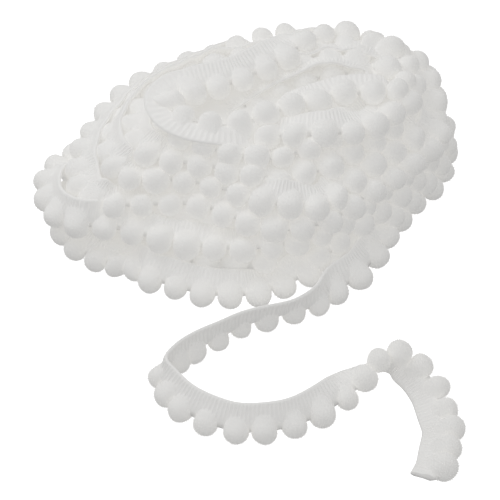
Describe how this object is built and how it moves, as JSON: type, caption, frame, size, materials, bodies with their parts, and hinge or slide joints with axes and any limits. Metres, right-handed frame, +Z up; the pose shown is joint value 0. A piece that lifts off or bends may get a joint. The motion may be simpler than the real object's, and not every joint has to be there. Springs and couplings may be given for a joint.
{
  "type": "pompom fringe trim",
  "caption": "White ribbed woven band with round pompoms along one edge, wound into an oval heap with a loose end lying in curves in front.",
  "frame": {"origin": "middle of the whole part's footprint, on the surface that it lies on", "axes": "+Z up, +Y from the loose end towards the back of the heap, +X to the right of the heap as seen from the loose end"},
  "size_m": [0.1933, 0.2507, 0.055],
  "materials": {
    "wound_trim": "matt soft white yarn",
    "loose_trim": "matt soft white yarn"
  },
  "bodies": {
    "root": {"wound_hank": "wound_trim", "loose_end": "loose_trim"}
  },
  "joints": []
}
